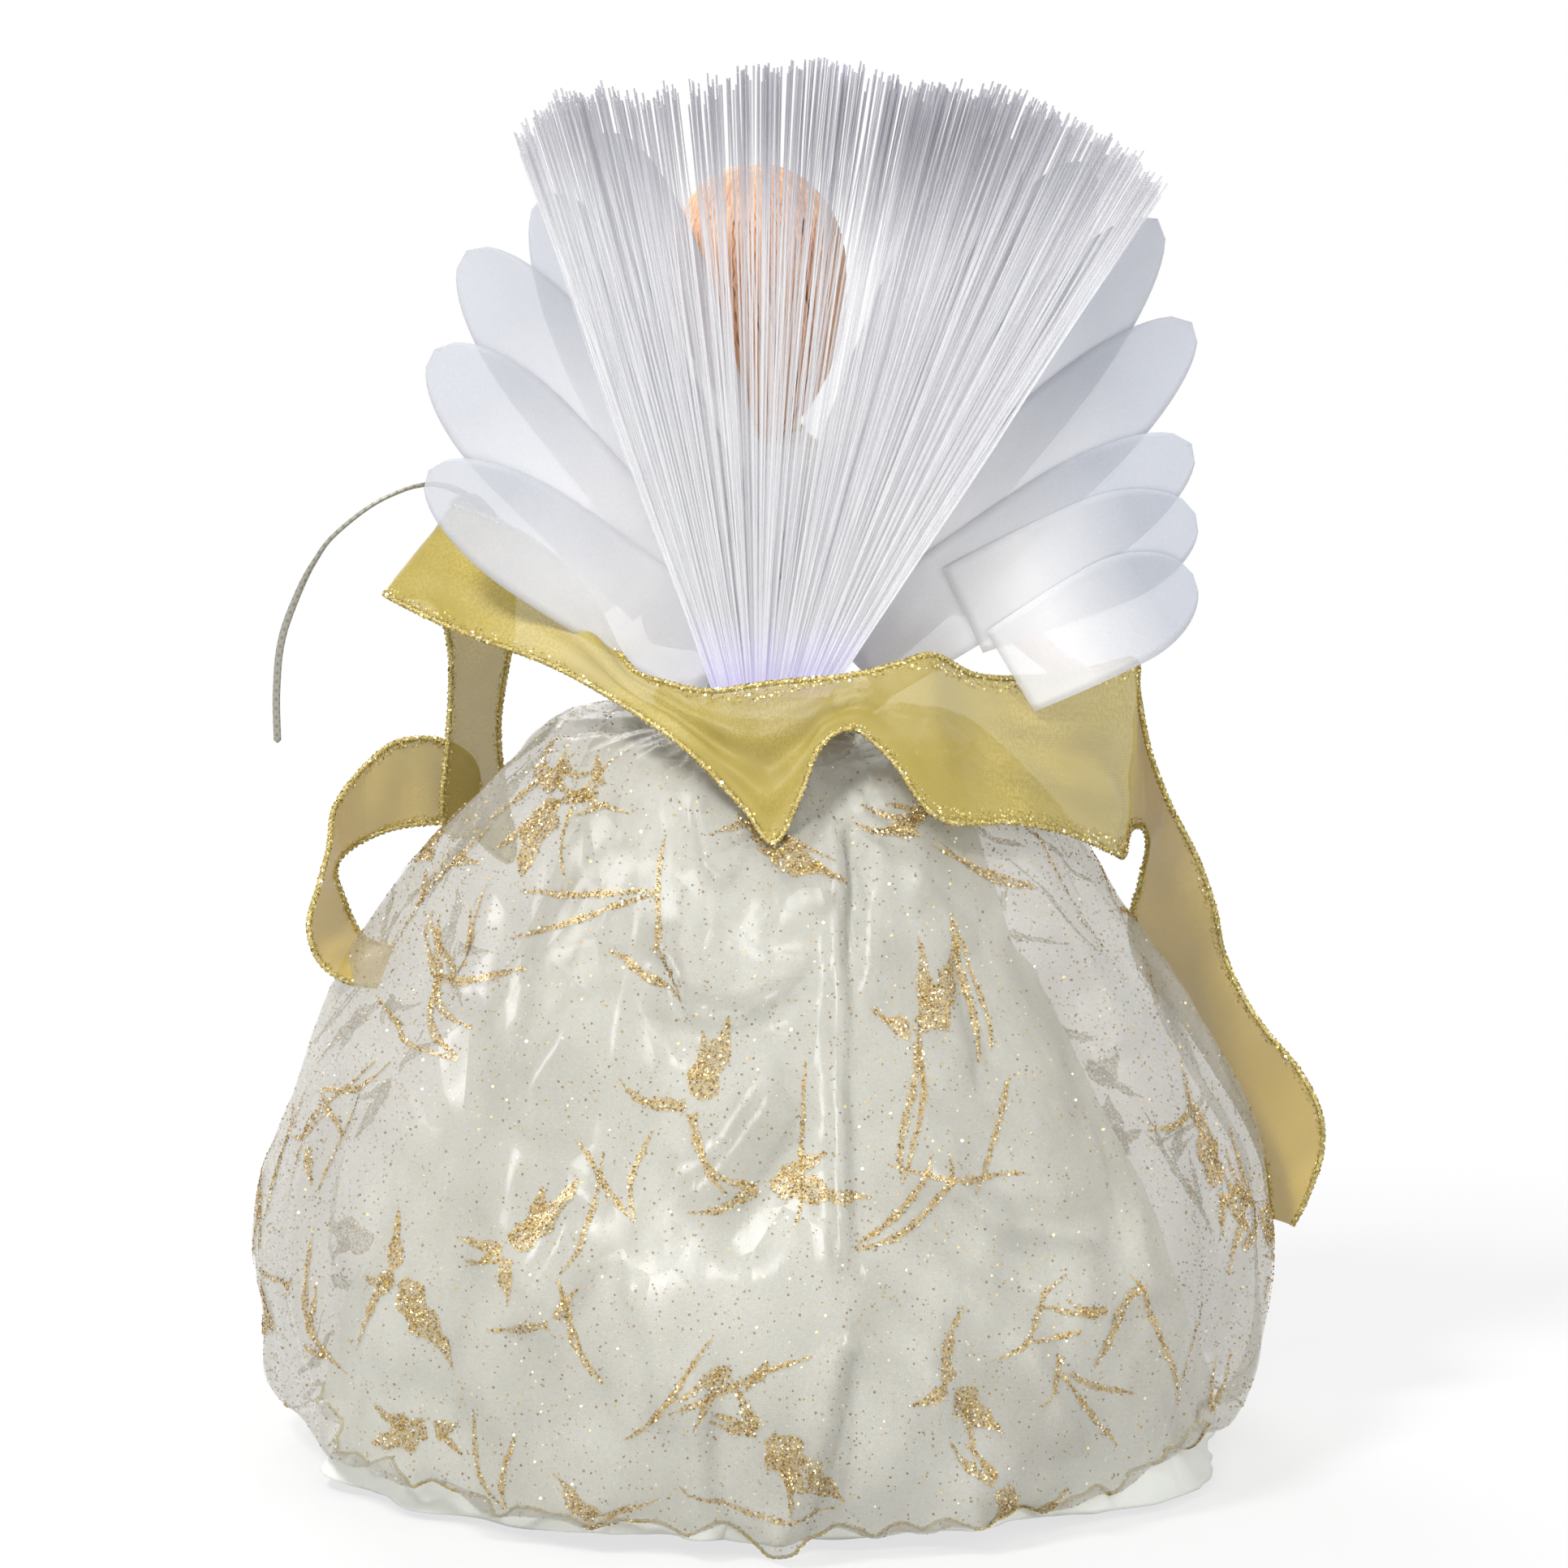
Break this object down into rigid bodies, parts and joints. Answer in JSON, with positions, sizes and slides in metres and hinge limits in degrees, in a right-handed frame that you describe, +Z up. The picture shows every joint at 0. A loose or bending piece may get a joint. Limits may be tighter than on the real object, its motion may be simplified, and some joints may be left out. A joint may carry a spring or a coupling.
{
  "type": "angel tree topper",
  "caption": "Battery-lit angel doll on a hollow cone for a tree's top shoot, with sheer skirts, feather wings, a ribbon shawl and a fan of light fibres.",
  "frame": {"origin": "on the body's axis in the plane of the base's underside, at the mouth of the tree socket", "axes": "+Z up from the base to the wing tips, +Y towards the back with the wings and the fibre fan, the face looks along -Y, +X to the angel's left"},
  "size_m": [0.2248, 0.2106, 0.3039],
  "materials": {
    "white_plastic": "injection moulded, matt",
    "dark_plastic": "fine satin",
    "cell_can": "printed shrink sleeve, bare",
    "contact_metal": "plated spring steel",
    "board": "solder mask",
    "lens": "clear epoxy",
    "red_wire": "vinyl insulation",
    "black_wire": "vinyl insulation",
    "fibre": "clear drawn acrylic fibre",
    "skin": "painted resin, satin",
    "hair": "combed synthetic hair",
    "satin": "satin weave",
    "organza": "sheer weave with gold glitter print",
    "wing_organza": "sheer stiffened weave",
    "gold_ribbon": "sheer metallic ribbon with wired glitter edges",
    "stem_cord": "braided metallic yarn over wire"
  },
  "bodies": {
    "figure": {"base_plate": "white_plastic", "body_cone": "white_plastic", "tree_socket": "white_plastic", "battery_tray": "white_plastic", "battery_cell_1": "cell_can", "battery_cell_2": "cell_can", "contact_spring_1": "contact_metal", "contact_spring_2": "contact_metal", "contact_bridge": "contact_metal", "contact_negative": "contact_metal", "contact_positive": "contact_metal", "switch_body": "dark_plastic", "lamp_housing": "white_plastic", "led_board": "board", "led_1": "lens", "led_2": "lens", "led_3": "lens", "lead_battery_black": "black_wire", "lead_battery_red": "red_wire", "lead_lamp_red": "red_wire", "fibre_ferrule": "contact_metal", "fibre_bundle": "fibre", "fibre_fan_1": "fibre", "fibre_fan_2": "fibre", "fibre_fan_3": "fibre", "fibre_fan_4": "fibre", "top_cap": "white_plastic", "doll_torso": "skin", "doll_head": "skin", "doll_hair": "hair", "forearm_left": "skin", "forearm_right": "skin", "sleeve_left": "satin", "sleeve_right": "satin", "bodice": "satin", "waist_band": "gold_ribbon", "satin_skirt": "satin", "organza_skirt": "organza", "wing_backing": "wing_organza", "feather_left_1": "wing_organza", "feather_left_2": "wing_organza", "feather_left_3": "wing_organza", "feather_left_4": "wing_organza", "feather_left_5": "wing_organza", "feather_right_1": "wing_organza", "feather_right_2": "wing_organza", "feather_right_3": "wing_organza", "feather_right_4": "wing_organza", "feather_right_5": "wing_organza", "feather_right_6": "wing_organza", "feather_right_7": "wing_organza", "shawl_ribbon": "gold_ribbon", "hand_stem": "stem_cord"},
    "door": {"battery_door": "white_plastic", "door_screw": "contact_metal"},
    "knob": {"switch_knob": "dark_plastic"}
  },
  "joints": [
    {"name": "battery_door_off", "type": "slide", "parent": "figure", "child": "door", "axis": [0, 0, -1], "range_m": [0, 0.02]},
    {"name": "switch_slide", "type": "slide", "parent": "figure", "child": "knob", "axis": [1, 0, 0], "range_m": [0, 0.004]}
  ]
}
